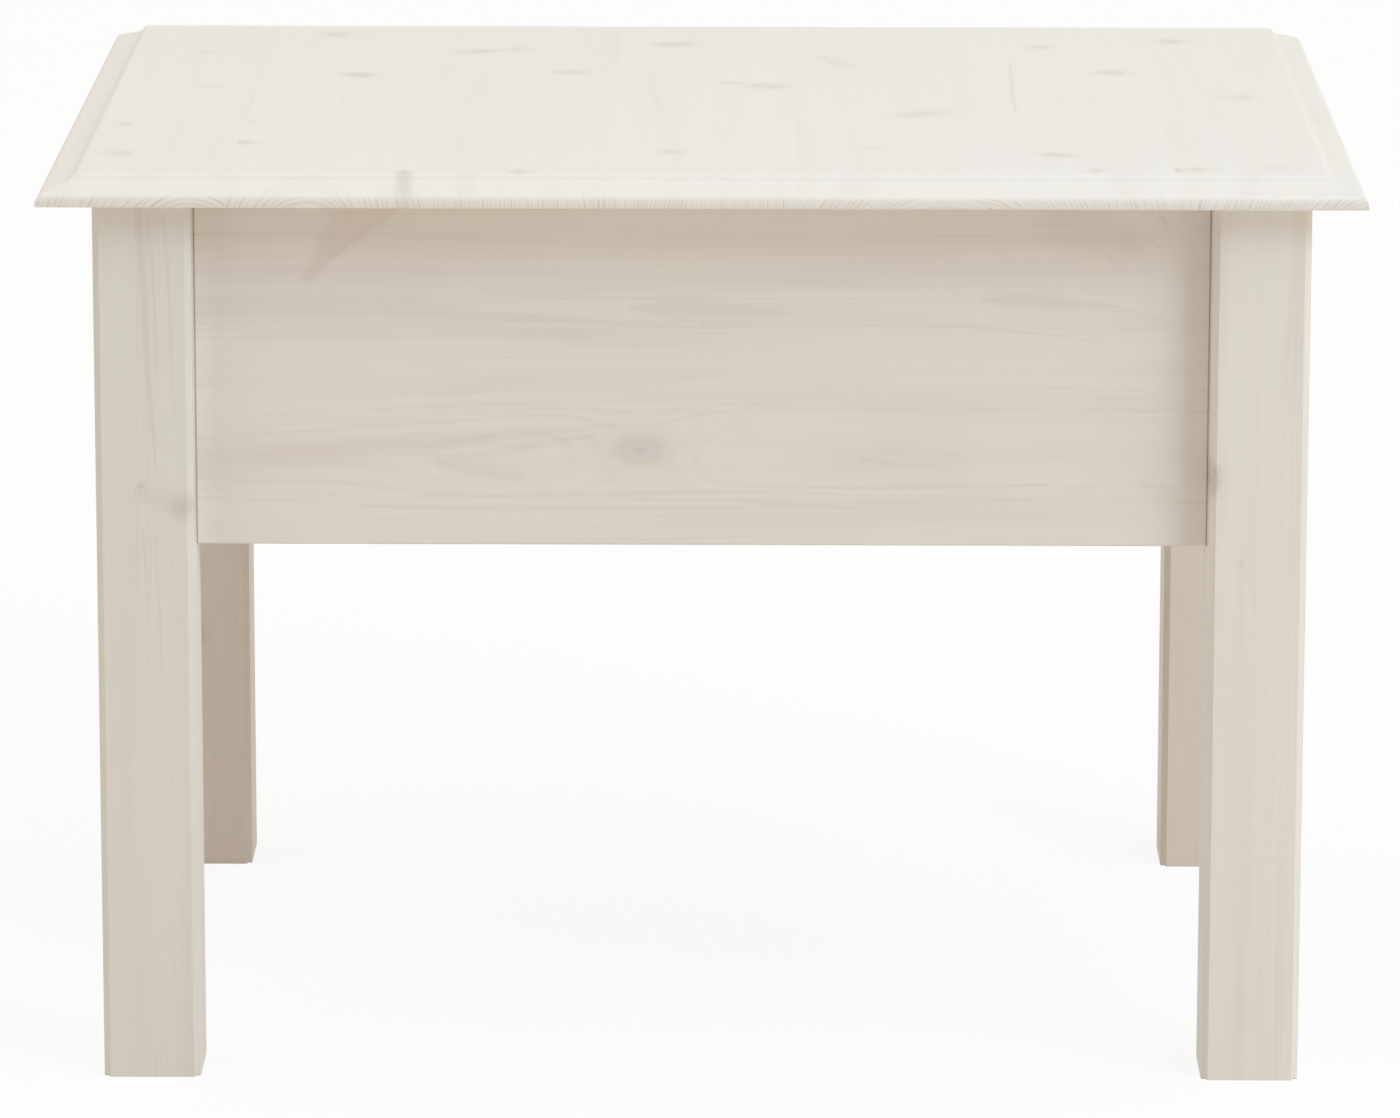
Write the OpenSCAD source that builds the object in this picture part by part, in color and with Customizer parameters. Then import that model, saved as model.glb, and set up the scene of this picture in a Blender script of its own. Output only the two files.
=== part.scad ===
// Small coffee table in white-glazed solid pine. A moulded top of glued boards sits on four square legs
// and a frame of deep apron boards. Z is up, the floor is at z = 0, and x = y = 0 is the middle of the table.
// The front is at -Y and the right-hand side at +X.

/* [Table] */
// Width of the top, left to right
table_w = 700; // [560:10:1000]
// Depth of the top, front to back
table_d = 550; // [400:10:800]
// Height of the top's upper face above the floor
table_h = 495; // [380:5:600]
// How far the top stands out past the legs at the left and the right
overhang_side = 28; // [15:1:60]
// How far the top stands out past the legs at the front and the back
overhang_end = 22; // [15:1:60]

/* [Top] */
// Thickness of the top
top_t = 15; // [14:1:30]
// Number of boards glued edge to edge, with their grain running front to back
board_count = 7; // [4:1:10]
// Width of the moulding, from the outermost line of the nose to the edge of the flat upper face
moulding_w = 21.5; // [16:0.5:26]
// Radius of the round edge of the flat upper face
arris_r = 3.5; // [2:0.5:5]
// Slope of the step below that edge, in degrees
step_slope = 55; // [35:1:65]
// Length of the step down that slope
step_l = 1; // [0.5:0.1:2]
// Radius of the hollow cove at the foot of the step
cove_r = 5; // [3:0.5:7]
// Fall of the shoulder between the cove and the nose, in degrees
shoulder_slope = 18; // [12:1:24]
// Radius of the nose above its outermost line
nose_r = 6; // [3:0.5:8]
// Radius of the lower edge of the nose
edge_r = 1; // [0.5:0.1:2]

/* [Legs] */
// Side of the square leg
leg_side = 52; // [46:1:80]
// Chamfer along the four upright edges of a leg
leg_chamfer = 3.5; // [1:0.5:6]
// Chamfer round the foot of a leg
foot_chamfer = 3; // [1:0.5:6]

/* [Aprons] */
// Height of an apron board
apron_h = 190; // [150:1:240]
// Thickness of an apron board
apron_t = 20; // [18:1:24]
// How far the face of an apron lies behind the outer face of the leg
apron_recess = 22; // [14:1:24]
// Small chamfer that eases the edges of an apron
apron_ease = 0.8; // [0.3:0.1:2]

/* [Dowels] */
// Diameter of a dowel
dowel_d = 8; // [6:1:10]
// Length of a dowel, half of it in the leg and half in the apron
dowel_l = 36; // [24:1:38]
// Number of dowels in each joint between a leg and an apron
dowel_count = 3; // [2:1:4]
// Height of the lowest dowel axis above the lower edge of the apron
dowel_margin = 28; // [20:1:34]
// Difference in height between the dowels of two aprons that meet at one leg
dowel_stagger = 14; // [12:1:18]
// Chamfer at the ends of a dowel
dowel_chamfer = 1; // [0.5:0.1:1.5]

/* [Corner blocks] */
// Thickness of a corner block, measured through its two faces
block_t = 20; // [18:1:26]
// Height of a corner block above the topmost bolt and below the lowest one
block_margin = 30; // [28:1:34]
// Clear gap between the corner block and the leg, which the bolts pull on
block_gap = 2.5; // [1.5:0.5:5]
// Wood left under the head of a screw in the corner block, measured from the apron
block_seat = 10; // [8:1:11]

/* [Hanger bolts] */
// Diameter of a hanger bolt
bolt_d = 8; // [6:1:8]
// Depth of a hanger bolt in the leg
bolt_grip = 30; // [20:1:36]
// How far a hanger bolt stands out past its nut
bolt_tail = 6; // [3:1:12]
// Height of one turn of the thread on the tail
thread_pitch = 1.25; // [0.8:0.05:1.5]
// Depth of the thread on the tail
thread_depth = 0.5; // [0.3:0.1:0.7]
// Width of a nut across its flats
nut_flats = 13; // [12:0.5:15]
// Height of a nut
nut_h = 6.5; // [4:0.5:8]
// Diameter of a washer
washer_d = 17; // [14:1:22]
// Thickness of a washer
washer_t = 1.6; // [1:0.1:3]

/* [Cleats] */
// Height of a cleat, the batten that holds the top to the front and back aprons
cleat_h = 20; // [18:1:24]
// Thickness of a cleat, measured out from the apron
cleat_w = 20; // [18:1:26]
// Gap between the end of a cleat and the leg
cleat_gap = 3; // [1:0.5:10]
// Length of the slot that lets the top shrink and swell
slot_l = 9; // [6:1:12]
// Number of screws that hold a cleat to its apron, with a screw into the top between each two
cleat_screw_count = 6; // [3:1:8]
// Distance from the end of a cleat to its outermost screw
cleat_screw_margin = 17; // [10:1:40]

/* [Screws] */
// Diameter of a screw's shank
screw_d = 4; // [3:0.5:4.5]
// Diameter of a screw's head
screw_head_d = 8; // [7:0.5:9]
// Height of a screw's head
screw_head_h = 2.6; // [2:0.2:3.4]
// Width of one arm of the cross recess in a screw's head
recess_w = 1.2; // [0.8:0.1:1.6]
// Depth of the cross recess in a screw's head
recess_depth = 1.4; // [0.8:0.1:1.6]
// Wood left in an apron beyond the point of a screw
apron_cover = 5; // [3:1:8]
// Wood left in the top beyond the point of a screw
top_cover = 5; // [3:1:7]

/* [Clearances] */
// Clearance all round a dowel, bolt or screw in its hole
hole_gap = 0.1; // [0.05:0.05:0.3]
// Spare depth past the end of a dowel or bolt
end_gap = 1; // [0.5:0.5:2]
// Clearance all round the head of a screw in its counterbore
head_gap = 0.5; // [0.3:0.1:1]

/* [Hidden] */
$fn = 64;
past = 1; // how far a cutting shape runs past the face that it opens
frame_w = table_w - 2 * overhang_side;
frame_d = table_d - 2 * overhang_end;
leg_h = table_h - top_t;
board_w = table_w / board_count;
apron_z = leg_h - apron_h;

// Places in the moulding, measured outwards and upwards from the edge of the flat upper face
step_high = arris_r * (facing(step_slope) - [0, 1]);
step_low = step_high + step_l * [cos(step_slope), -sin(step_slope)];
cove_low = step_low + cove_r * (facing(step_slope) - facing(shoulder_slope));

// The shoulder runs into the nose, whose radius is limited by the height left above the lower edge
shoulder_low = top_t + cove_low.y - (moulding_w - cove_low.x) * tan(shoulder_slope);
nose_share = cos(shoulder_slope) - (1 - sin(shoulder_slope)) * tan(shoulder_slope);
nose_fit_r = min(nose_r, (shoulder_low - edge_r) / nose_share);
nose_z = shoulder_low - nose_fit_r * nose_share;

// Places in a corner are measured inwards from the outer corner of the leg
apron_mid = apron_recess + apron_t / 2;
apron_back = apron_recess + apron_t;
dowel_pitch = (apron_h - 2 * dowel_margin - dowel_stagger) / (dowel_count - 1);
end_dowels = [for (i = [0 : dowel_count - 1]) apron_z + dowel_margin + i * dowel_pitch];
side_dowels = [for (z = end_dowels) z + dowel_stagger];
end_block_screws = midpoints(end_dowels);
side_block_screws = midpoints(side_dowels);
bolt_heights = [for (i = [0 : dowel_count - 2]) (end_block_screws[i] + side_block_screws[i]) / 2];
block_low = bolt_heights[0] - block_margin;
block_high = bolt_heights[dowel_count - 2] + block_margin;

// Distances along the diagonal of a corner, from the outer corner of the leg
leg_flat = (leg_side - leg_chamfer / 2) * sqrt(2);
block_face = leg_flat + block_gap;
block_back = block_face + block_t;
bolt_start = leg_flat - bolt_grip;
bolt_end = block_back + washer_t + nut_h + bolt_tail;
block_screw_at = (block_face + block_back) / 2 * sqrt(2) - apron_back;

cleat_l = frame_w - 2 * (leg_side + cleat_gap);
cleat_y = frame_d / 2 - apron_back;
cleat_screw_pitch = (cleat_l - 2 * cleat_screw_margin) / (cleat_screw_count - 1);
cleat_screw_places =
    [for (i = [0 : cleat_screw_count - 1]) i * cleat_screw_pitch - cleat_l / 2 + cleat_screw_margin];
top_screw_places = midpoints(cleat_screw_places);
top_screw_l = cleat_h + top_t - top_cover;
cleat_screw_l = cleat_w + apron_t - apron_cover;
block_screw_l = block_seat + apron_t - apron_cover;

CORNERS = [[-1, -1], [1, -1], [-1, 1], [1, 1]];
white_top = "#ebe8e1";
white_side = "#d4ccbf";
raw_pine = "#dcc49a";
beech = "#c9a06c";
zinc = "#b8bcc0";

// The values halfway between each two neighbours of a list
function midpoints(list) = [for (i = [0 : len(list) - 2]) (list[i] + list[i + 1]) / 2];

// Direction straight out of a face that falls outwards by the given slope
function facing(slope) = [sin(slope), cos(slope)];

// Rectangle about the origin whose corners are cut at 45 degrees
module chamfered_square(w, h, c) {
    polygon([
        [-w / 2 + c, -h / 2], [w / 2 - c, -h / 2], [w / 2, -h / 2 + c], [w / 2, h / 2 - c],
        [w / 2 - c, h / 2], [-w / 2 + c, h / 2], [-w / 2, h / 2 - c], [-w / 2, -h / 2 + c]
    ]);
}

// Places its children in one corner: x and y run inwards from the outer corner of the leg
module in_corner(corner) {
    translate([corner.x * frame_w / 2, corner.y * frame_d / 2, 0])
        mirror([corner.x > 0 ? 1 : 0, 0, 0])
            mirror([0, corner.y > 0 ? 1 : 0, 0])
                children();
}

// Turns its children from +Z onto the diagonal of a corner, starting at the given distance and height
module on_diagonal(distance, height) {
    rotate([0, 0, 45]) translate([distance, 0, height]) rotate([0, 90, 0]) children();
}

// Places its children at each dowel of a corner, with +Z along the dowel from the leg into the apron
module at_dowels() {
    for (z = end_dowels) translate([leg_side, apron_mid, z]) rotate([0, 90, 0]) children();
    for (z = side_dowels) translate([apron_mid, leg_side, z]) rotate([-90, 0, 0]) children();
}

// Places its children under the head of each screw of a corner block, with +Z towards the apron
module at_block_screws() {
    for (z = end_block_screws)
        translate([block_screw_at, apron_back + block_seat, z]) rotate([90, 0, 0]) children();
    for (z = side_block_screws)
        translate([apron_back + block_seat, block_screw_at, z]) rotate([0, -90, 0]) children();
}

// Places its children under the head of each screw between the cleats and the aprons
module at_cleat_screws() {
    for (side = [-1, 1], x = cleat_screw_places)
        translate([x, side * (cleat_y - cleat_w), leg_h - cleat_h / 2]) rotate([-90 * side, 0, 0]) children();
}

// Places its children under the head of each screw between the cleats and the top
module at_top_screws() {
    for (side = [-1, 1], x = top_screw_places)
        translate([x, side * (cleat_y - cleat_w / 2), leg_h - cleat_h]) children();
}

// Pan-head screw pointing to +Z, its head below z = 0
module screw(l) {
    tip = screw_d;
    difference() {
        rotate_extrude() polygon([
            [0, -screw_head_h], [screw_head_d / 4, -screw_head_h],
            [screw_head_d / 2, -screw_head_h / 2], [screw_head_d / 2, 0],
            [screw_d / 2, 0], [screw_d / 2, l - tip], [0, l]
        ]);
        for (turn = [0, 90]) rotate(turn)
            translate([-screw_head_d / 4, -recess_w / 2, -screw_head_h - past])
                cube([screw_head_d / 2, recess_w, recess_depth + past]);
    }
}

// Hole for a screw: the shank's bore, closed past the screw's point
module screw_hole(l) {
    translate([0, 0, -past]) cylinder(d = screw_d + 2 * hole_gap, h = l + past + end_gap);
}

// Cross-section of the top: flat above and below, and moulded at both ends
module top_section(w) {
    flat = [w / 2 - moulding_w, top_t];
    arris = flat - [0, arris_r];
    cove = flat + step_low + cove_r * facing(step_slope);
    nose = [w / 2 - nose_fit_r, nose_z];
    edge = [w / 2 - edge_r, edge_r];
    difference() {
        union() {
            translate([-flat.x, 0]) square([2 * flat.x, top_t]);
            for (side = [0, 1]) mirror([side, 0]) {
                polygon([
                    [0, 0], [edge.x, 0], edge, [w / 2, edge_r], [w / 2, nose_z], nose,
                    nose + nose_fit_r * facing(shoulder_slope), flat + cove_low, flat + step_low,
                    flat + step_high, arris, [0, arris.y]
                ]);
                translate(arris) circle(r = arris_r);
                translate(edge) circle(r = edge_r);
                translate(nose) intersection() {
                    circle(r = nose_fit_r);
                    square(nose_fit_r + past);
                }
            }
        }
        for (side = [0, 1]) mirror([side, 0]) translate(cove) circle(r = cove_r);
    }
}

// The whole top in one piece, before it is divided into boards
module top_panel() {
    intersection() {
        rotate([90, 0, 0]) linear_extrude(height = table_d + 2 * past, center = true) top_section(table_w);
        rotate([90, 0, 90]) linear_extrude(height = table_w + 2 * past, center = true) top_section(table_d);
    }
}

module top_board(i) {
    color(white_top) difference() {
        intersection() {
            translate([0, 0, leg_h]) top_panel();
            translate([(i - 1) * board_w - table_w / 2, -table_d / 2 - past, leg_h - past])
                cube([board_w, table_d + 2 * past, top_t + 2 * past]);
        }
        at_top_screws() screw_hole(top_screw_l);
    }
}

// Leg with all its holes, in corner coordinates
module leg_blank() {
    half = leg_side / 2;
    difference() {
        intersection() {
            translate([half, half, 0]) linear_extrude(height = leg_h)
                chamfered_square(leg_side, leg_side, leg_chamfer);
            for (turn = [0, 90]) translate([half, half, 0]) rotate([90, 0, turn])
                linear_extrude(height = leg_side + 2 * past, center = true) polygon([
                    [-half + foot_chamfer, 0], [half - foot_chamfer, 0], [half, foot_chamfer],
                    [half, leg_h], [-half, leg_h], [-half, foot_chamfer]
                ]);
        }
        at_dowels() translate([0, 0, -dowel_l / 2 - end_gap])
            cylinder(d = dowel_d + 2 * hole_gap, h = dowel_l / 2 + end_gap + past);
        for (z = bolt_heights) on_diagonal(bolt_start - end_gap, z)
            cylinder(d = bolt_d + 2 * hole_gap, h = bolt_grip + end_gap + past);
    }
}

module leg(corner) {
    color(white_side) in_corner(corner) leg_blank();
}

// Board standing on edge along x, centred on x = y = 0 with its lower edge at z = 0
module eased_board(l, t, h) {
    intersection() {
        translate([0, 0, h / 2]) rotate([90, 0, 90])
            linear_extrude(height = l, center = true) chamfered_square(t, h, apron_ease);
        linear_extrude(height = h) chamfered_square(l, t, apron_ease);
    }
}

// Holes that the dowels and the corner blocks' screws make in the aprons
module apron_holes() {
    for (corner = CORNERS) in_corner(corner) {
        at_dowels() translate([0, 0, -past])
            cylinder(d = dowel_d + 2 * hole_gap, h = dowel_l / 2 + end_gap + past);
        at_block_screws() screw_hole(block_screw_l);
    }
}

// Apron at the front (side = -1) or at the back (side = 1)
module end_apron(side) {
    color(white_side) difference() {
        translate([0, side * (frame_d / 2 - apron_mid), apron_z])
            eased_board(frame_w - 2 * leg_side, apron_t, apron_h);
        apron_holes();
        at_cleat_screws() screw_hole(cleat_screw_l);
    }
}

// Apron at the left (side = -1) or at the right (side = 1)
module side_apron(side) {
    color(white_side) difference() {
        translate([side * (frame_w / 2 - apron_mid), 0, apron_z]) rotate(90)
            eased_board(frame_d - 2 * leg_side, apron_t, apron_h);
        apron_holes();
    }
}

// Block across a corner, its mitred ends flat on the two aprons
module corner_block(corner) {
    near = block_face * sqrt(2) - apron_back;
    far = block_back * sqrt(2) - apron_back;
    color(raw_pine) in_corner(corner) difference() {
        translate([0, 0, block_low]) linear_extrude(height = block_high - block_low) polygon([
            [near, apron_back], [far, apron_back], [apron_back, far], [apron_back, near]
        ]);
        for (z = bolt_heights) on_diagonal(block_face - past, z)
            cylinder(d = bolt_d + 2 * hole_gap, h = block_t + 2 * past);
        at_block_screws() {
            screw_hole(block_screw_l);
            translate([0, 0, -block_t * sqrt(2)])
                cylinder(d = screw_head_d + 2 * head_gap, h = block_t * sqrt(2));
        }
    }
}

// Batten at the front (side = -1) or at the back (side = 1), slotted for the top's screws
module cleat(side) {
    color(raw_pine) difference() {
        translate([-cleat_l / 2, side * (cleat_y - cleat_w / 2) - cleat_w / 2, leg_h - cleat_h])
            cube([cleat_l, cleat_w, cleat_h]);
        at_cleat_screws() screw_hole(cleat_screw_l);
        at_top_screws() {
            slot_d = screw_d + 2 * hole_gap;
            for (end = [-1, 1]) translate([end * (slot_l - slot_d) / 2, 0, -past])
                cylinder(d = slot_d, h = cleat_h + 2 * past);
            translate([-(slot_l - slot_d) / 2, -slot_d / 2, -past])
                cube([slot_l - slot_d, slot_d, cleat_h + 2 * past]);
        }
    }
}

module dowel() {
    r = dowel_d / 2;
    rotate_extrude() polygon([
        [0, -dowel_l / 2], [r - dowel_chamfer, -dowel_l / 2], [r, -dowel_l / 2 + dowel_chamfer],
        [r, dowel_l / 2 - dowel_chamfer], [r - dowel_chamfer, dowel_l / 2], [0, dowel_l / 2]
    ]);
}

module dowels() {
    color(beech) for (corner = CORNERS) in_corner(corner) at_dowels() dowel();
}

// Hanger bolt from z = 0, with thread rings on the tail that shows past the nut
module hanger_bolt() {
    r = bolt_d / 2;
    l = bolt_end - bolt_start;
    rings = floor(bolt_tail / thread_pitch);
    rotate_extrude() polygon(concat(
        [[0, 0], [r / 2, 0], [r, r], [r, l - rings * thread_pitch]],
        [for (i = [rings : -1 : 1], step = [0, 1]) [
            r - (step == 0 ? thread_depth : 0), l - (i - 0.5 - step / 2) * thread_pitch
        ]],
        [[0, l]]
    ));
}

module hanger_bolts() {
    color(zinc) for (corner = CORNERS) in_corner(corner)
        for (z = bolt_heights) on_diagonal(bolt_start, z) hanger_bolt();
}

module washers() {
    color(zinc) for (corner = CORNERS) in_corner(corner)
        for (z = bolt_heights) on_diagonal(block_back, z) difference() {
            cylinder(d = washer_d, h = washer_t);
            translate([0, 0, -past]) cylinder(d = bolt_d + 2 * hole_gap, h = washer_t + 2 * past);
        }
}

// Hexagon nut standing on z = 0, its corners turned off at the outer end
module nut() {
    across_corners = nut_flats / cos(30);
    turned_off = (across_corners - nut_flats) / 2;
    difference() {
        intersection() {
            cylinder(d = across_corners, h = nut_h, $fn = 6);
            rotate_extrude() polygon([
                [0, 0], [across_corners / 2, 0], [across_corners / 2, nut_h - turned_off],
                [nut_flats / 2, nut_h], [0, nut_h]
            ]);
        }
        translate([0, 0, -past]) cylinder(d = bolt_d + 2 * hole_gap, h = nut_h + 2 * past);
    }
}

module nuts() {
    color(zinc) for (corner = CORNERS) in_corner(corner)
        for (z = bolt_heights) on_diagonal(block_back + washer_t, z) nut();
}

module block_screws() {
    color(zinc) for (corner = CORNERS) in_corner(corner) at_block_screws() screw(block_screw_l);
}

module cleat_screws() {
    color(zinc) at_cleat_screws() screw(cleat_screw_l);
}

module top_screws() {
    color(zinc) at_top_screws() screw(top_screw_l);
}

for (i = [1 : board_count]) top_board(i);
leg([-1, -1]);  // leg_front_left
leg([1, -1]);  // leg_front_right
leg([-1, 1]);  // leg_rear_left
leg([1, 1]);  // leg_rear_right
end_apron(-1);  // apron_front
end_apron(1);  // apron_rear
side_apron(-1);  // apron_left
side_apron(1);  // apron_right
corner_block([-1, -1]);  // corner_block_front_left
corner_block([1, -1]);  // corner_block_front_right
corner_block([-1, 1]);  // corner_block_rear_left
corner_block([1, 1]);  // corner_block_rear_right
cleat(-1);  // cleat_front
cleat(1);  // cleat_rear
dowels();
hanger_bolts();
washers();
nuts();
block_screws();
cleat_screws();
top_screws();
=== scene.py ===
import math

import bpy
from mathutils import Matrix, Vector


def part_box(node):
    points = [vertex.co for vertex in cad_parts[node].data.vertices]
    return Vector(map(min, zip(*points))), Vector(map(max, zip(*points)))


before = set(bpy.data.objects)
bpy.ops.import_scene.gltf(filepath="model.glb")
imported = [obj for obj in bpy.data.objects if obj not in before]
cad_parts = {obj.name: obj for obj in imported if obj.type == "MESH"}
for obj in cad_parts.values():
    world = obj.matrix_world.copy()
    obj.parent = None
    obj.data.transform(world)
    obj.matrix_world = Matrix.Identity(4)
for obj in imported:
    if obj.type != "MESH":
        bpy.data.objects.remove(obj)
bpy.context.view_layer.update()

X, Y, Z = Vector((1, 0, 0)), Vector((0, 1, 0)), Vector((0, 0, 1))
MM_PER_M = 1000.0
WHITE = (1, 1, 1, 1)

# The studio: camera, lamp, world and floor
CAMERA_PLACE = (0.0286, -4.4664, 1.2239)
CAMERA_PITCH = math.radians(12.532)
CAMERA_YAW = math.radians(0.398)
CAMERA_ROLL = math.radians(0.073)
CAMERA_LENS = 208.6
SENSOR_WIDTH = 36.0

LAMP_TARGET = Vector((0.0, 0.0, 0.3))
LAMP_TURN = math.radians(44.5)
LAMP_RISE = math.radians(32)
LAMP_DISTANCE = 5.0
LAMP_SIZE = 1.9
LAMP_POWER = 64.0
LAMP_COLOUR = (0.66, 0.95, 1.36)

WORLD_SIDES = (0.80, 0.74, 0.61, 1)
WORLD_ABOVE = (1.04, 1.04, 0.97, 1)
# How far a direction rises where the light of the sides begins to turn into the light from above, and ends
WORLD_RISE = (0.1, 0.8)
# How far a direction points to the front or rear where the world is dark, and where it is at full strength
WORLD_FRONT = (0.95, 0.35)
# Two soft panels in the world, as direction and colour
PANELS = [
    ((0.656, -0.656, 0.375), (0.70, 0.62, 0.46)),
    ((-0.656, -0.656, 0.375), (0.22, 0.20, 0.25)),
]
PANEL_EDGE = math.cos(math.radians(48))
PANEL_CORE = math.cos(math.radians(12))
FLOOR_SEEN = (0.93, 0.93, 0.93, 1)
FLOOR_BOUNCE = (0.98, 0.93, 0.86, 1)
FLOOR_HALF_SIDE = 12.0
FLOOR_GLOW = 0.88

# Zinc on the metal parts, from its dull to its bright spots
ZINC_DULL = (0.50, 0.51, 0.53, 1)
ZINC_BRIGHT = (0.68, 0.68, 0.69, 1)
ZINC_ROUGHNESS = (0.26, 0.42)
ZINC_SPOT_LEVELS = (0.3, 0.7)
ZINC_SPOTS_PER_M = 420.0
METAL_NODES = ("hanger_bolts", "washers", "nuts", "block_screws", "cleat_screws", "top_screws")


class Graph:
    """Short calls that build the nodes of one node tree."""

    def __init__(self, tree):
        self.tree = tree
        self.tree.nodes.clear()

    def feed(self, socket, value):
        """Links a socket, or sets a plain value."""
        if isinstance(value, bpy.types.NodeSocket):
            self.tree.links.new(value, socket)
        else:
            socket.default_value = value

    def add(self, kind, inputs=None, **settings):
        node = self.tree.nodes.new(kind)
        for name, value in settings.items():
            setattr(node, name, value)
        for name, value in (inputs or {}).items():
            self.feed(node.inputs[name], value)
        return node

    def math(self, operation, *values, clamp=False):
        node = self.add("ShaderNodeMath", operation=operation, use_clamp=clamp)
        for socket, value in zip(node.inputs, values):
            self.feed(socket, value)
        return node.outputs[0]

    def vector(self, operation, *values, output="Vector"):
        node = self.add("ShaderNodeVectorMath", operation=operation)
        for socket, value in zip(node.inputs, values):
            self.feed(socket, value)
        return node.outputs[output]

    def dot(self, vector, other):
        return self.vector("DOT_PRODUCT", vector, other, output="Value")

    def length(self, x, y):
        """Length of the line from the origin to (x, y)."""
        squares = self.math("MULTIPLY_ADD", x, x, self.math("MULTIPLY", y, y))
        return self.math("SQRT", squares)

    def join(self, x, y, z):
        return self.add("ShaderNodeCombineXYZ", {"X": x, "Y": y, "Z": z}).outputs[0]

    def parts(self, vector):
        return self.add("ShaderNodeSeparateXYZ", {"Vector": vector}).outputs

    def blend(self, value, start, end, low=0.0, high=1.0):
        """Goes smoothly from low at start to high at end. Start may lie above end."""
        inputs = {"Value": value, "From Min": start, "From Max": end, "To Min": low, "To Max": high}
        node = self.add("ShaderNodeMapRange", inputs, interpolation_type="SMOOTHSTEP")
        return node.outputs["Result"]

    def noise(self, vector, scale=1.0, detail=2.0, roughness=0.5, output="Fac"):
        inputs = {"Vector": vector, "Scale": scale, "Detail": detail, "Roughness": roughness}
        return self.add("ShaderNodeTexNoise", inputs).outputs[output]

    def about_zero(self, noise, amount):
        """Turns noise between 0 and 1 into a number within half the amount of zero."""
        return self.math("MULTIPLY", self.math("SUBTRACT", noise, 0.5), amount)

    def ramp(self, value, stops):
        """A grey ramp through stops of (place, level)."""
        node = self.add("ShaderNodeValToRGB", {"Fac": value})
        elements = node.color_ramp.elements
        while len(elements) < len(stops):
            elements.new(1.0)
        for element, (place, level) in zip(elements, stops):
            element.position = place
            element.color = (level, level, level, 1)
        return node.outputs["Color"]

    def mix(self, factor, first, second):
        """Mixes two colours."""
        node = self.add("ShaderNodeMix", data_type="RGBA")
        self.feed(node.inputs["Factor"], factor)
        self.feed(node.inputs["A"], first)
        self.feed(node.inputs["B"], second)
        return node.outputs["Result"]

    def mix_shaders(self, factor, first, second):
        node = self.add("ShaderNodeMixShader", {"Fac": factor})
        self.feed(node.inputs[1], first.outputs[0])
        self.feed(node.inputs[2], second.outputs[0])
        return node.outputs[0]


def new_material(name):
    material = bpy.data.materials.new(name)
    material.use_nodes = True
    return material, Graph(material.node_tree)


def make_camera():
    camera = bpy.data.objects.new("camera", bpy.data.cameras.new("camera"))
    camera.data.lens = CAMERA_LENS
    camera.data.sensor_width = SENSOR_WIDTH
    camera.matrix_world = (
        Matrix.Translation(CAMERA_PLACE)
        @ Matrix.Rotation(CAMERA_YAW, 4, "Z")
        @ Matrix.Rotation(math.pi / 2 - CAMERA_PITCH, 4, "X")
        @ Matrix.Rotation(CAMERA_ROLL, 4, "Z")
    )
    bpy.context.scene.collection.objects.link(camera)
    bpy.context.scene.camera = camera


def make_lamp():
    """One large soft lamp, above and to the right of the camera."""
    level = math.cos(LAMP_RISE)
    right = math.sin(LAMP_TURN) * level
    front = math.cos(LAMP_TURN) * level
    direction = Vector((right, -front, math.sin(LAMP_RISE)))
    data = bpy.data.lights.new("key_lamp", "AREA")
    data.energy = LAMP_POWER
    data.size = LAMP_SIZE
    data.color = LAMP_COLOUR
    lamp = bpy.data.objects.new("key_lamp", data)
    lamp.location = LAMP_TARGET + direction * LAMP_DISTANCE
    lamp.rotation_euler = direction.to_track_quat("Z", "Y").to_euler()
    bpy.context.scene.collection.objects.link(lamp)


def seen_directly(graph):
    """1 for rays from the camera, from glossy surfaces and through clear ones, and 0 for all others."""
    path = graph.add("ShaderNodeLightPath").outputs
    mirrored = graph.math("MAXIMUM", path["Is Glossy Ray"], path["Is Transmission Ray"])
    return graph.math("MAXIMUM", path["Is Camera Ray"], mirrored)


def make_world():
    """Soft light from above, from both sides and from two panels, that shows as plain white."""
    world = bpy.data.worlds.new("studio")
    world.use_nodes = True
    graph = Graph(world.node_tree)
    direction = graph.add("ShaderNodeTexCoord").outputs["Generated"]
    part = graph.parts(direction)
    colour = graph.mix(graph.blend(part["Z"], *WORLD_RISE), WORLD_SIDES, WORLD_ABOVE)
    strength = graph.blend(graph.math("ABSOLUTE", part["Y"]), *WORLD_FRONT)
    colour = graph.vector("MULTIPLY", colour, strength)
    for axis, panel in PANELS:
        share = graph.blend(graph.dot(direction, axis), PANEL_EDGE, PANEL_CORE)
        colour = graph.vector("MULTIPLY_ADD", panel, share, colour)
    light = graph.add("ShaderNodeBackground", {"Color": colour, "Strength": 1.0})
    white = graph.add("ShaderNodeBackground", {"Color": WHITE, "Strength": 1.0})
    both = graph.mix_shaders(seen_directly(graph), light, white)
    graph.add("ShaderNodeOutputWorld", {"Surface": both})
    bpy.context.scene.world = world


def make_floor():
    """A pale floor that shows nearly white and keeps the table's shadow."""
    bpy.ops.mesh.primitive_plane_add(size=2 * FLOOR_HALF_SIDE)
    floor = bpy.context.object
    floor.name = "floor"
    material, graph = new_material("floor")
    glow = graph.add("ShaderNodeEmission", {"Color": WHITE, "Strength": 1.0})
    seen = seen_directly(graph)
    colour = graph.mix(seen, FLOOR_BOUNCE, FLOOR_SEEN)
    matt = graph.add("ShaderNodeBsdfDiffuse", {"Color": colour})
    share = graph.math("MULTIPLY", seen, FLOOR_GLOW)
    graph.add("ShaderNodeOutputMaterial", {"Surface": graph.mix_shaders(share, matt, glow)})
    floor.data.materials.append(material)


# The end grain comes out in full within this many millimetres below the wood's sanded depth. Unsanded
# wood shows it from the face down.
SANDED_EDGE = 2.0
UNSANDED = -SANDED_EDGE

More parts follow.
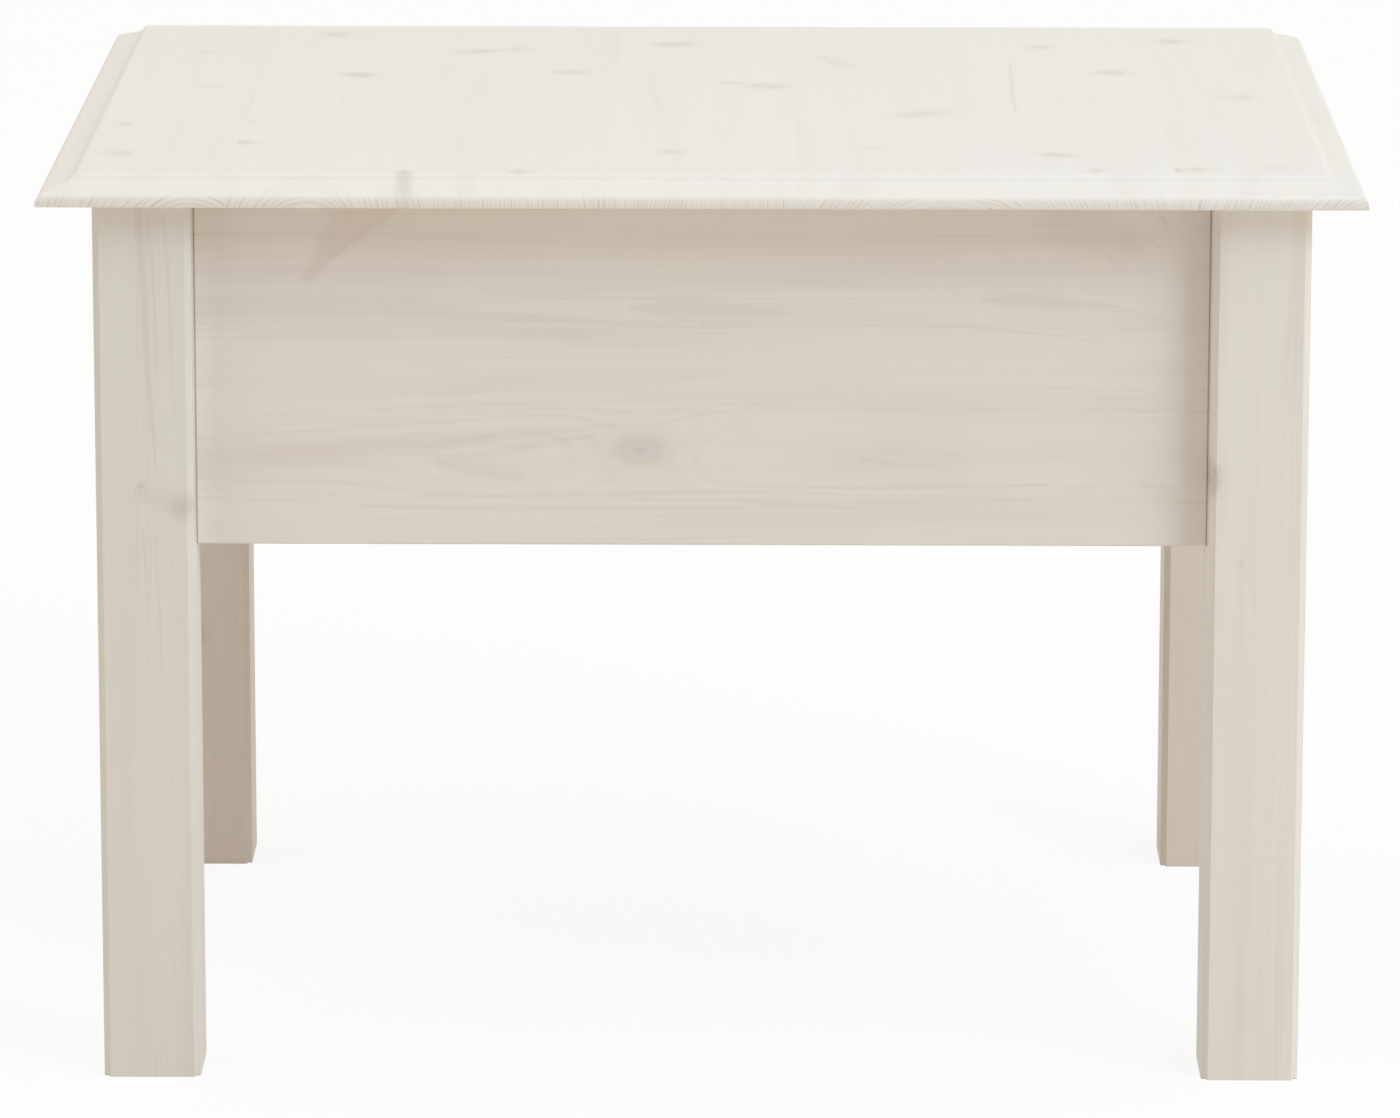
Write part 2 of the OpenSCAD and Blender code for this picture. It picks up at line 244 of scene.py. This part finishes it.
# The kinds of wood. Light is the clear wood between the rings, warm and rose are its two stains, knot is
# the wood of the knots, sawn the end grain, and the sixth colour is the paler colour of painted light and
# painted sheen, laid where the wood should look more brightly lit. Sanded is the depth in millimetres above
# which the end grain hardly shows. Rings, bands, fibres and knots say how much each of them stands out in
# colour, and bump how strong their relief is.
TOP_GLAZE = {
    "light": (0.834, 0.796, 0.744, 1),
    "warm": (0.77, 0.71, 0.605, 1),
    "rose": (0.71, 0.64, 0.585, 1),
    "knot": (0.56, 0.50, 0.45, 1),
    "sawn": (0.62, 0.54, 0.455, 1),
    # Colour of the painted light and painted sheen
    "painted_light": (0.912, 0.868, 0.832, 1),
    "sanded": 6.0,
    "rings": 0.11,
    "bands": 0.20,
    "fibres": 0.08,
    "knots": 0.36,
    "bump": 0.12,
    "roughness": 0.68,
}
APRON_GLAZE = {
    "light": (0.733, 0.673, 0.606, 1),
    "warm": (0.665, 0.568, 0.452, 1),
    "rose": (0.605, 0.49, 0.43, 1),
    "knot": (0.41, 0.365, 0.355, 1),
    "sawn": (0.59, 0.51, 0.43, 1),
    # Colour of the painted light and painted sheen
    "painted_light": (0.87, 0.80, 0.73, 1),
    "sanded": UNSANDED,
    "rings": 0.26,
    "bands": 0.24,
    "fibres": 0.24,
    "knots": 0.34,
    "bump": 0.25,
    "roughness": 0.45,
}
LEG_GLAZE = {**APRON_GLAZE, "rings": 0.20, "fibres": 0.13}
RAW_PINE = {
    "light": (0.72, 0.54, 0.33, 1),
    "warm": (0.60, 0.38, 0.18, 1),
    "rose": (0.50, 0.28, 0.13, 1),
    "knot": (0.24, 0.11, 0.045, 1),
    "sawn": (0.46, 0.27, 0.12, 1),
    "painted_light": (0.72, 0.54, 0.33, 1),
    "sanded": UNSANDED,
    "rings": 0.7,
    "bands": 0.5,
    "fibres": 0.22,
    "knots": 0.95,
    "bump": 0.35,
    "roughness": 0.62,
}
BEECH = {
    "light": (0.60, 0.40, 0.23, 1),
    "warm": (0.52, 0.31, 0.16, 1),
    "rose": (0.45, 0.25, 0.13, 1),
    "knot": (0.24, 0.11, 0.045, 1),
    "sawn": (0.42, 0.25, 0.13, 1),
    "painted_light": (0.60, 0.40, 0.23, 1),
    "sanded": UNSANDED,
    "rings": 0.3,
    "bands": 0.3,
    "fibres": 0.5,
    "knots": 0.9,
    "bump": 0.3,
    "roughness": 0.55,
}

# Scales of the noises in the wood, per millimetre across the grain, along it and into the board
WAVE_SCALE = (0.02, 0.008, 0.02)
BEND_SCALE = (0.009, 0.0026, 0.009)
RAGGED_SCALE = (0.16, 0.1, 0.16)
FRAYED_SCALE = (0.25, 0.02, 0.25)
FIBRE_SCALE = (0.9, 0.022, 0.9)
FLECK_SCALE = (0.23, 0.005, 0.23)
CLOUD_SCALE = (0.018, 0.006, 0.018)
# How far a seed of 1 moves the noises along, in millimetres
SEED_SHIFT = (137.0, 71.0, 213.0)

# Millimetres by which noise moves the marks and the year rings about
WAVE = (5.0, 0.0, 0.0)
BEND = (19.0, 0.0, 19.0)
# How uneven the outlines of knots and of streaks are, in radii
RAGGED = 0.6
FRAYED = 1.1

# Where each part of a mark begins and where it is full, as distances from its middle in radii
KNOT_PUSH = (3.8, 0.3)
KNOT_HALO = (2.4, 0.9)
KNOT_BODY = (1.3, 0.5)
KNOT_HEART = (0.35, 0.05)
STREAK = (1.5, 0.1)
# How far a knot pushes the rings outwards, in radii
PUSH = 0.6
# Darkness of a knot's body, and what its own rings and its heart add to it
BODY_DARK = 0.75
RINGS_DARK = 0.1
HEART_DARK = 0.35
# Angle through which a knot's own rings run within one radius
RINGS_TURN = 13.0
# How much stain lies round a knot
HALO_STAIN = 0.14

# The dark late wood within one year, as (share of the year, darkness)
LATE_WOOD = [(0.0, 0.15), (0.3, 0.0), (0.86, 1.0), (1.0, 0.15)]
# The years differ: scale of the noise per year, how many years it moves a ring by, and the strength of
# the faintest ring
YEAR_SCALE = 0.35
YEAR_SHIFT = 2.2
FAINTEST_RING = 0.2

# Broad bands of stain: scale of their noise per millimetre from the pith and along the grain, and the
# levels at which a band begins and is full
BAND_SCALE = (0.075, 0.0032)
BAND_LEVELS = (0.42, 0.7)
# Levels between which the stain turns from warm to rose
CLOUD_LEVELS = (0.4, 0.6)
# Strength of the flecks against that of the fibres
FLECKS = 1.4

# End grain: how squarely a face crosses the grain where it begins and where it is full, as cosines, what
# is left of it where the wood is sanded, how strong it is, and what the rings add to that
SAWN_CROSSING = (0.5, 1.0)
SAWN_SANDED = 0.18
SAWN_SHARE = 0.4
SAWN_RINGS = 0.7

# Relief of the fibres in metres, relief of the rings against theirs, and how much the roughness varies
RELIEF = 0.0001
RELIEF_RINGS = 0.7
ROUGHNESS_SPREAD = 0.12

# Where a sloping face begins to get painted light, and where it has all of it, as cosines
PAINTED_LIGHT_SLOPE = (0.05, 0.25)


class Wood:
    """The material of a board sawn from a log.

    Places are in millimetres: across and along the grain are coordinates of the table, and depth is
    measured from the face inwards. The pith is the line round which the year rings run, given as
    (across, depth)."""

    def __init__(self, name, palette, across, along, face, seed, pith, ring_width, drift=(0.0, 0.0)):
        """Face is the direction into the board and how far along it the face lies. Drift leans the log,
        across and in depth, for each millimetre along the grain."""
        self.material, self.graph = new_material(name)
        self.palette = palette
        self.along = along
        self.seed = seed
        self.pith = pith
        self.ring_width = ring_width
        self.drift = drift

        graph = self.graph
        place = graph.add("ShaderNodeTexCoord").outputs["Object"]
        place = graph.vector("MULTIPLY", place, (MM_PER_M, MM_PER_M, MM_PER_M))
        depth = graph.math("SUBTRACT", graph.dot(place, face[0]), face[1])
        self.place = graph.join(graph.dot(place, across), graph.dot(place, along), depth)
        self.shifted = graph.vector("ADD", self.place, tuple(seed * shift for shift in SEED_SHIFT))
        self.waved = self.moved_about(WAVE_SCALE, WAVE)
        self.ragged = graph.about_zero(self.noise(RAGGED_SCALE), RAGGED)
        self.frayed = graph.about_zero(self.noise(FRAYED_SCALE, detail=3.0), FRAYED)

        # What the knots, the streaks and the painted light and sheen come to at each place
        self.push = 0.0
        self.core = 0.0
        self.halo = 0.0
        self.stain = 0.0
        self.painted_light_share = 0.0

    def noise(self, scale, **settings):
        """Noise whose scale across, along and into the board is given per millimetre."""
        return self.graph.noise(self.graph.vector("MULTIPLY", self.shifted, scale), **settings)

    def moved_about(self, scale, amount, **settings):
        """The places in the board, moved about by noise by an amount in millimetres."""
        noise = self.noise(scale, output="Color", **settings)
        centred = self.graph.vector("SUBTRACT", noise, (0.5, 0.5, 0.5))
        return self.graph.vector("MULTIPLY_ADD", centred, amount, self.place)

    def depth(self):
        return self.graph.parts(self.place)["Z"]

    def slope(self, direction):
        """How squarely a face looks in a direction, as a cosine."""
        normal = self.graph.add("ShaderNodeNewGeometry").outputs["True Normal"]
        return self.graph.dot(normal, direction)

    def project(self, direction, origin):
        """How far each place lies from the origin in a direction on the face."""
        distance = self.graph.dot(self.waved, (*direction, 0.0))
        return self.graph.math("SUBTRACT", distance, direction.dot(origin))

    def oval(self, start, end, radius):
        """Distance from an oval's middle, in its radii. It reaches half a radius beyond start and end."""
        start, end = Vector(start), Vector(end)
        half = (end - start) / 2
        long = self.project(half.normalized() / (half.length + radius / 2), start + half)
        short = self.project(half.orthogonal().normalized() / radius, start + half)
        return self.graph.length(long, short)

    def taper(self, start, end, radii):
        """Distance from a line on the face, in radii that change from its start to its end."""
        graph, start, end = self.graph, Vector(start), Vector(end)
        line = end - start
        along = self.project(line / line.length_squared, start)
        beside = self.project(line.orthogonal().normalized(), start)
        share = graph.math("ADD", along, 0.0, clamp=True)
        beyond = graph.math("MULTIPLY", graph.math("SUBTRACT", along, share), line.length)
        radius = graph.math("MULTIPLY_ADD", share, radii[1] - radii[0], radii[0])
        return graph.math("DIVIDE", graph.length(beside, beyond), radius)

    def knot(self, start, end, radius, strength):
        """A knot that pushes the rings outwards."""
        graph = self.graph
        away = self.oval(start, end, radius)
        uneven = graph.math("ADD", away, self.ragged)
        body = graph.blend(uneven, *KNOT_BODY)
        rings = graph.math("SINE", graph.math("MULTIPLY", away, RINGS_TURN))
        rings = graph.math("MULTIPLY", rings, RINGS_DARK)
        heart = graph.blend(away, *KNOT_HEART, 0.0, HEART_DARK)
        dark = graph.math("ADD", graph.math("ADD", rings, heart), BODY_DARK)
        dark = graph.math("MULTIPLY", graph.math("MULTIPLY", body, dark), strength)
        push = graph.blend(away, *KNOT_PUSH, 0.0, radius * PUSH)
        halo = graph.blend(uneven, *KNOT_HALO, 0.0, strength)
        self.push = graph.math("ADD", self.push, push)
        self.core = graph.math("MAXIMUM", self.core, dark)
        self.halo = graph.math("MAXIMUM", self.halo, halo)

    def streak(self, start, end, radii, strength):
        """A soft darker streak whose edges follow the fibres."""
        graph = self.graph
        uneven = graph.math("ADD", self.taper(start, end, radii), self.frayed)
        stain = graph.blend(uneven, *STREAK, 0.0, strength)
        self.stain = graph.math("MAXIMUM", self.stain, stain)

    def draw(self, marks):
        """A mark is start, end, radius and strength. With two radii it is a streak, otherwise a knot."""
        for mark in marks:
            if isinstance(mark[2], tuple):
                self.streak(*mark)
            else:
                self.knot(*mark)

    def paint_sheen_on_face(self, reach, amount):
        """Painted sheen: the flat face is painted paler, down to a depth in millimetres."""
        self.painted_light_share = self.graph.blend(self.depth(), reach, 0.0, 0.0, amount)

    def paint_light_on_slopes(self, direction, amount):
        """Painted light: faces sloping towards a direction are painted paler, as if lit more."""
        share = self.graph.blend(self.slope(direction), *PAINTED_LIGHT_SLOPE, 0.0, amount)
        self.painted_light_share = self.graph.math("MAXIMUM", self.painted_light_share, share)

    def paint_light_at_ends(self, middle, half, reach, amount):
        """Painted light at both ends of the board, against the shade in the corners beside the legs."""
        graph = self.graph
        away = graph.math("SUBTRACT", graph.parts(self.place)["Y"], middle)
        self.painted_light_share = graph.blend(graph.math("ABSOLUTE", away), half - reach, half, 0.0, amount)

    def year_rings(self):
        """The dark late wood of each year, 0 to 1, and the distance from the pith."""
        graph = self.graph
        bent = graph.parts(self.moved_about(BEND_SCALE, BEND, detail=3.0))
        across = graph.math("SUBTRACT", bent["X"], self.pith[0])
        depth = graph.math("SUBTRACT", bent["Z"], self.pith[1])
        across = graph.math("MULTIPLY_ADD", bent["Y"], self.drift[0], across)
        depth = graph.math("MULTIPLY_ADD", bent["Y"], self.drift[1], depth)
        radius = graph.math("ADD", graph.length(across, depth), self.push)

        years = graph.math("DIVIDE", radius, self.ring_width)
        place = graph.join(graph.math("MULTIPLY", years, YEAR_SCALE), self.seed, 0.0)
        years = graph.math("MULTIPLY_ADD", graph.noise(place, detail=1.0), YEAR_SHIFT, years)
        late = graph.ramp(graph.math("FRACT", years), LATE_WOOD)
        number = graph.math("FLOOR", years)
        year = graph.add("ShaderNodeTexWhiteNoise", {"W": number}, noise_dimensions="1D")
        strength = graph.math("MULTIPLY_ADD", year.outputs["Value"], 1 - FAINTEST_RING, FAINTEST_RING)
        return graph.math("MULTIPLY", late, strength), radius

    def bands(self, radius):
        """Broad bands of stain that follow the rings, 0 to 1."""
        graph = self.graph
        along = graph.math("MULTIPLY", graph.parts(self.place)["Y"], BAND_SCALE[1])
        place = graph.join(graph.math("MULTIPLY", radius, BAND_SCALE[0]), along, self.seed)
        return graph.blend(graph.noise(place, detail=3.0, roughness=0.55), *BAND_LEVELS)

    def stain_share(self, late, fibres, tone):
        """How much stain the rings, the fibres and the surroundings of the knots take up, 0 to 1."""
        graph, palette = self.graph, self.palette
        flecks = self.noise(FLECK_SCALE)
        share = graph.math("MULTIPLY_ADD", late, palette["rings"], tone)
        share = graph.math("ADD", share, graph.about_zero(fibres, palette["fibres"]))
        share = graph.math("ADD", share, graph.about_zero(flecks, palette["fibres"] * FLECKS))
        return graph.math("MULTIPLY_ADD", self.halo, HALO_STAIN, share, clamp=True)

    def end_grain(self, late):
        """How much darker the wood is, 0 to 1, where the saw crossed the grain and the rings stand out."""
        graph, sanded = self.graph, self.palette["sanded"]
        crossing = graph.blend(graph.math("ABSOLUTE", self.slope(self.along)), *SAWN_CROSSING)
        rough = graph.blend(self.depth(), sanded, sanded + SANDED_EDGE, SAWN_SANDED)
        strength = graph.math("MULTIPLY_ADD", late, SAWN_RINGS, SAWN_SHARE)
        sawn = graph.math("MULTIPLY", crossing, strength)
        return graph.math("MULTIPLY", sawn, rough, clamp=True)

    def colour(self, late, radius, fibres, tone):
        """The clear wood with bands, painted light, stain, streaks, knots and end grain, one over the
        other.
        """
        graph, palette = self.graph, self.palette
        bands = graph.math("MULTIPLY", self.bands(radius), palette["bands"])
        cloud = graph.blend(self.noise(CLOUD_SCALE), *CLOUD_LEVELS)
        tint = graph.mix(cloud, palette["warm"], palette["rose"])
        colour = graph.mix(bands, palette["light"], tint)
        # Painted light and painted sheen: a paler colour laid where the wood should look more brightly lit
        colour = graph.mix(self.painted_light_share, colour, palette["painted_light"])
        colour = graph.mix(self.stain_share(late, fibres, tone), colour, tint)
        colour = graph.mix(self.stain, colour, palette["rose"])
        core = graph.math("MULTIPLY", self.core, palette["knots"], clamp=True)
        colour = graph.mix(core, colour, palette["knot"])
        return graph.mix(self.end_grain(late), colour, palette["sawn"])

    def finish(self, tone=0.0):
        """Joins everything into the material. A higher tone is a darker board."""
        graph, palette = self.graph, self.palette
        late, radius = self.year_rings()
        fibres = self.noise(FIBRE_SCALE, detail=3.0, roughness=0.6)
        colour = self.colour(late, radius, fibres, tone)

        relief = graph.math("MULTIPLY_ADD", late, RELIEF_RINGS, fibres)
        inputs = {"Height": relief, "Distance": RELIEF, "Strength": palette["bump"]}
        bump = graph.add("ShaderNodeBump", inputs)
        smoothest = palette["roughness"] - ROUGHNESS_SPREAD / 2
        roughness = graph.math("MULTIPLY_ADD", fibres, ROUGHNESS_SPREAD, smoothest)
        inputs = {"Base Color": colour, "Roughness": roughness, "Normal": bump.outputs["Normal"]}
        shader = graph.add("ShaderNodeBsdfPrincipled", inputs)
        graph.add("ShaderNodeOutputMaterial", {"Surface": shader.outputs["BSDF"]})
        return self.material


def paint(node, material):
    """Gives a CAD node its material."""
    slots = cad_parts[node].material_slots
    for slot in slots:
        slot.material = material
    if not slots:
        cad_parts[node].data.materials.append(material)


# The seed of the first board of each kind. The others count on from it.
TOP_SEED = 3.0
LEG_SEED = 21.0
APRON_SEED = 31.0
BLOCK_SEED = 41.0
CLEAT_SEED = 46.0
DOWEL_SEED = 51.0

# Painted sheen on the flat face of the top and painted light at the ends of an apron, as reach in
# millimetres and amount, and the amount of painted light on the faces of the top that slope to the left
FACE_PAINTED_SHEEN = (0.3, 0.5)
END_PAINTED_LIGHT = (14.0, 0.5)
LEFT_PAINTED_LIGHT = 0.95

# The boards of the top from left to right. The pith is measured from the board's middle and below its
# face, and marks are (x, y), (x, y), radius or radii, strength.
TOP_DRIFT = (0.010, 0.006)
TOP_BOARDS = [
    {"pith": (30, 45), "ring_width": 2.6, "tone": 0.02, "marks": [
        ((-290, 154), (-286, 155), 8, 0.35),
        ((-277, 30), (-273, 29), 7, 0.3),
        ((-317, -98), (-315, -98), 6, 0.7),
        ((-314, -192), (-307, -192), 8, 0.7),
    ]},
    {"pith": (-12, 28), "ring_width": 2.9, "tone": 0.0, "marks": [
        ((-221, 221), (-211, 222), 9, 0.85),
        ((-199, 71), (-193, 75), 9.5, 1.1),
        ((-250, -91), (-246, -90), 5, 0.3),
        ((-255, -156), (-245, -156), 8, 1.0),
        ((-157, -248), (-157, -272), 5, 0.4),
        ((-157, -246), (-157, -276), (4.5, 5), 0.7),
    ]},
    {"pith": (-95, 30), "ring_width": 1.9, "tone": 0.03, "marks": [
        ((-142, 154), (-128, 162), 9, 0.65),
        ((-130, 160), (-110, 167), (6, 11), 0.35),
        ((-165, 105), (-161, 106), 5, 0.3),
        ((-84, 84), (-71, 85), 7.5, 0.75),
        ((-98, -248), (-94, -248), 6, 1.0),
    ]},
    {"pith": (110, 20), "ring_width": 1.7, "tone": -0.01, "marks": [
        ((-26, 185), (-14, 188), 8.5, 1.0),
        ((-20, -184), (-13, -185), 6.5, 0.75),
        ((9, 50), (22, 44), 6, 0.6),
        ((29, 40), (41, 34), 9, 0.9),
        ((-62, -248), (-56, -248), 5, 0.5),
        ((-31, 75), (-25, -47), (4, 3), 0.15),
    ]},
    {"pith": (25, 60), "ring_width": 2.3, "tone": 0.01, "marks": [
        ((65, 146), (82, 102), 6, 0.45),
        ((110, -64), (128, -52), 9, 0.75),
        ((84, -168), (96, -170), 5, 0.3),
    ]},
    {"pith": (-60, 40), "ring_width": 2.1, "tone": -0.02, "marks": [
        ((187, 180), (197, 180), 8, 0.6),
        ((224, 87), (234, 88), 10, 0.9),
        ((182, -189), (196, -193), 7, 1.0),
        ((206, -240), (209, -240), 5, 0.8),
        ((174, 124), (172, -50), (1.2, 1.2), 0.35),
    ]},
    {"pith": (48, 35), "ring_width": 2.2, "tone": 0.02, "marks": [
        ((264, 200), (273, 203), 9, 0.9),
        ((312, 138), (316, 138), 6, 0.3),
        ((293, -1), (302, 1), 9, 0.5),
        ((243, -238), (250, -237), 8, 1.4),
        ((256, -236), (264, -235), 6, 0.8),
        ((230, -247), (235, -247), 5, 0.7),
        ((300, -228), (310, -229), 6, 0.4),
    ]},
]

# The legs. The pith is measured from the leg's middle and behind its front face, and marks are (x, z),
# (x, z), radius or radii, strength.
LEGS = {
    "leg_front_left": {
        "light": (0.69, 0.647, 0.585, 1), "pith": (-34, 20), "ring_width": 2.8, "drift": (0.006, 0.012),
        "marks": [
            # Two knots, and the long streaks above and below them
            ((-277, 311), (-274, 318), 7, 0.9),
            ((-298, 327), (-297, 326), 2.5, 0.8),
            ((-297, 476), (-294, 388), (2, 1.7), 0.34),
            ((-294, 390), (-290, 336), (1.7, 0.6), 0.34),
            ((-292, 472), (-289, 385), (1.3, 0.8), 0.24),
            ((-284, 472), (-280, 364), (1.5, 0.8), 0.26),
            ((-290, 301), (-287, 225), (1.3, 0.6), 0.26),
            ((-296, 302), (-294, 250), (1.2, 0.6), 0.22),
            # The burl between the two knots
            ((-296, 322), (-276, 316), (6, 9), 0.24),
        ]},
    "leg_front_right": {
        "light": (0.735, 0.682, 0.611, 1), "pith": (40, 15), "ring_width": 1.8, "drift": (0.004, -0.006),
        "marks": [
            ((270, 322), (270, 340), 6, 1.6),
            ((287, 286), (288, 286), 2, 0.6),
        ]},
    "leg_rear_left": {
        "light": (0.725, 0.65, 0.59, 1), "pith": (-28, 40), "ring_width": 2.4, "drift": (0.005, 0.008),
        "marks": [
            ((-301, 136), (-300, 142), 5, 0.8),
        ]},
    "leg_rear_right": {
        "light": (0.725, 0.63, 0.545, 1), "pith": (36, 30), "ring_width": 2.2, "drift": (-0.005, 0.008),
        "marks": [
            ((300, 218), (301, 224), 5, 0.8),
        ]},
}

# The boards of the frame, with the directions along and into each. The pith is its height and its depth
# behind the outer face, and marks are (z, along), (z, along), radius or radii, strength.
APRONS = {
    "apron_front": {
        "along": X, "into": Y, "pith": (338, 30), "ring_width": 2.5, "drift": (0.0, 0.020),
        "marks": [
            # The knot, and the streaks that run up to it from the left
            ((341, -45), (341, -21), 9.5, 0.95),
            ((333, -272), (349, -112), (9, 4), 0.24),
            ((349, -116), (355, -45), (4, 1), 0.2),
            ((335, -138), (350, -57), (4, 1), 0.2),
            ((335, -140), (329, -100), (2.5, 6), 0.2),
            # The long streak from the left leg into the right half, and its shade
            ((417, -272), (417, -168), (5, 4), 0.28),
            ((417, -172), (413, -81), (4, 2.2), 0.28),
            ((413, -84), (408, 14), (2.2, 0.6), 0.24),
            ((411, 0), (410, 141), (1.6, 1.4), 0.2),
            ((410, 137), (402, 215), (1.4, 0.6), 0.2),
            ((424, -265), (423, -150), (9, 6), 0.14),
            ((403, -240), (404, -60), (5, 4), 0.1),
            # The short streak on the right
            ((424, 150), (424, 172), (1.5, 5), 0.32),
            ((424, 172), (421, 222), (5, 1), 0.3),
            ((421, 210), (415, 245), (2.5, 2), 0.14),
            # The short streak in the middle
            ((425, -36), (423, 2), (1, 4), 0.16),
            ((420, -38), (419, -14), (1, 6.5), 0.28),
            ((419, -14), (417, 44), (6.5, 2), 0.28),
            ((417, 30), (415, 120), (4, 2), 0.14),
            # The spike knot at the upper edge, on the left
            ((474, -180), (440, -207), (15, 3.5), 0.34),
            ((476, -158), (441, -204), (3.2, 2.6), 0.42),
            ((441, -205), (435, -209), (4.5, 3.5), 0.4),
            # The burl at the upper edge, on the right, and its eyes
            ((466, 190), (454, 228), (14, 9), 0.28),
            ((446, 218), (438, 222), (4, 3), 0.16),
            ((467, 244), (464, 247), (2.4, 1.2), 0.3),
            ((459, 225), (456, 229), (2.6, 1.2), 0.3),
            ((451, 213), (447, 217), (3, 1.4), 0.25),
            ((455, 238), (452, 243), (2.2, 1.2), 0.22),
            # The patch at the lower right, and the fine streaks along the lower edge
            ((323, 238), (317, 250), (6, 5), 0.16),
            ((317, -150), (318, 10), (1.5, 1.2), 0.2),
            ((311, -180), (310, 20), (1.5, 1.2), 0.2),
            ((337, 85), (331, 136), (1.2, 0.5), 0.2),
            ((322, 58), (323, 183), (1.3, 0.8), 0.2),
            ((314, 20), (309, 100), (1.3, 0.6), 0.2),
        ]},
    "apron_rear": {
        "along": X, "into": -Y, "pith": (400, 45), "ring_width": 2.8, "drift": (0.01, 0.02),
        "marks": [
            ((352, 88), (352, 98), 8, 1.0),
            ((420, -200), (405, 20), (6, 3), 0.25),
        ]},
    "apron_left": {
        "along": Y, "into": X, "pith": (372, 30), "ring_width": 3.0, "drift": (0.0, -0.02),
        "marks": [
            ((420, -60), (419, -50), 7, 0.9),
            ((330, -10), (345, 150), (7, 3), 0.25),
        ]},
    "apron_right": {
        "along": Y, "into": -X, "pith": (350, 50), "ring_width": 2.6, "drift": (0.006, 0.025),
        "marks": [
            ((330, 70), (331, 78), 7, 0.9),
            ((425, -150), (410, 30), (6, 3), 0.25),
        ]},
}

# The bare wood inside. A block's pith is measured from its left side and its front, and moves to the
# right from block to block, and a cleat's is measured from its front and its underside.
BARE_DRIFT = (0.01, 0.01)
BLOCK_PITH = (-30, 60)
BLOCK_PITH_STEP = 25
BLOCK_RING_WIDTH = 2.2
CLEAT_PITH = (-12, 34)
CLEAT_RING_WIDTH = 1.9
DOWEL_RING_WIDTH = 2.5


def pith_from_middle(row, low, high):
    """The pith of a board or leg whose row measures it from the middle, from left to right."""
    across, depth = row["pith"]
    return (low.x + high.x) / 2 * MM_PER_M + across, depth


def finish_top():
    """Each board of the top has its own log, with the grain from front to back."""
    for i, board in enumerate(TOP_BOARDS):
        node = f"top_board_{i + 1}"
        low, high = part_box(node)
        face = (-Z, -high.z * MM_PER_M)
        pith = pith_from_middle(board, low, high)
        wood = Wood(node, TOP_GLAZE, X, Y, face, TOP_SEED + i, pith, board["ring_width"], TOP_DRIFT)
        wood.draw(board["marks"])
        # Painted sheen on the flat face of the top
        wood.paint_sheen_on_face(*FACE_PAINTED_SHEEN)
        # Painted light on the faces of the top that slope to the left
        wood.paint_light_on_slopes(-X, LEFT_PAINTED_LIGHT)
        paint(node, wood.finish(board["tone"]))


def finish_legs():
    """The legs are sawn along the log, so the grain stands upright."""
    for i, (node, leg) in enumerate(LEGS.items()):
        low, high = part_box(node)
        face = (Y, low.y * MM_PER_M)
        pith = pith_from_middle(leg, low, high)
        palette = {**LEG_GLAZE, "light": leg["light"]}
        wood = Wood(node, palette, X, Z, face, LEG_SEED + i, pith, leg["ring_width"], leg["drift"])
        wood.draw(leg["marks"])
        paint(node, wood.finish())


def finish_aprons():
    """The boards of the frame have their grain lying level."""
    for i, (node, board) in enumerate(APRONS.items()):
        along, into, pith = board["along"], board["into"], board["pith"]
        ring_width, drift = board["ring_width"], board["drift"]
        low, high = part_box(node)
        face = (into, min(into.dot(low), into.dot(high)) * MM_PER_M)
        wood = Wood(node, APRON_GLAZE, Z, along, face, APRON_SEED + i, pith, ring_width, drift)
        wood.draw(board["marks"])
        start, end = along.dot(low) * MM_PER_M, along.dot(high) * MM_PER_M
        # Painted light at both ends, against the shade in the corners beside the legs
        wood.paint_light_at_ends((start + end) / 2, (end - start) / 2, *END_PAINTED_LIGHT)
        paint(node, wood.finish())


def finish_inside():
    """The blocks, cleats and dowels under the top are bare wood."""
    blocks = sorted(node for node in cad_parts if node.startswith("corner_block"))
    for i, node in enumerate(blocks):
        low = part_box(node)[0]
        face = (Y, low.y * MM_PER_M)
        pith = (low.x * MM_PER_M + BLOCK_PITH[0] + BLOCK_PITH_STEP * i, BLOCK_PITH[1])
        wood = Wood(node, RAW_PINE, X, Z, face, BLOCK_SEED + i, pith, BLOCK_RING_WIDTH, BARE_DRIFT)
        paint(node, wood.finish())
    for i, node in enumerate(("cleat_front", "cleat_rear")):
        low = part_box(node)[0]
        face = (Z, low.z * MM_PER_M)
        pith = (low.y * MM_PER_M + CLEAT_PITH[0], CLEAT_PITH[1])
        wood = Wood(node, RAW_PINE, Y, X, face, CLEAT_SEED + i, pith, CLEAT_RING_WIDTH, BARE_DRIFT)
        paint(node, wood.finish())
    beech = Wood("beech", BEECH, X, Z, (Y, 0.0), DOWEL_SEED, (0, 0), DOWEL_RING_WIDTH)
    paint("dowels", beech.finish())


def finish_metal():
    """Dull zinc on all the screws, bolts, nuts and washers."""
    material, graph = new_material("zinc_steel")
    place = graph.add("ShaderNodeTexCoord").outputs["Object"]
    spots = graph.noise(place, scale=ZINC_SPOTS_PER_M, detail=3.0)
    colour = graph.mix(spots, ZINC_DULL, ZINC_BRIGHT)
    roughness = graph.blend(spots, *ZINC_SPOT_LEVELS, *ZINC_ROUGHNESS)
    inputs = {"Base Color": colour, "Roughness": roughness, "Metallic": 1.0}
    shader = graph.add("ShaderNodeBsdfPrincipled", inputs)
    graph.add("ShaderNodeOutputMaterial", {"Surface": shader.outputs["BSDF"]})
    for node in METAL_NODES:
        paint(node, material)


bpy.context.scene.view_settings.view_transform = "Standard"
make_camera()
make_lamp()
make_world()
make_floor()
finish_top()
finish_legs()
finish_aprons()
finish_inside()
finish_metal()

bpy.context.view_layer.update()
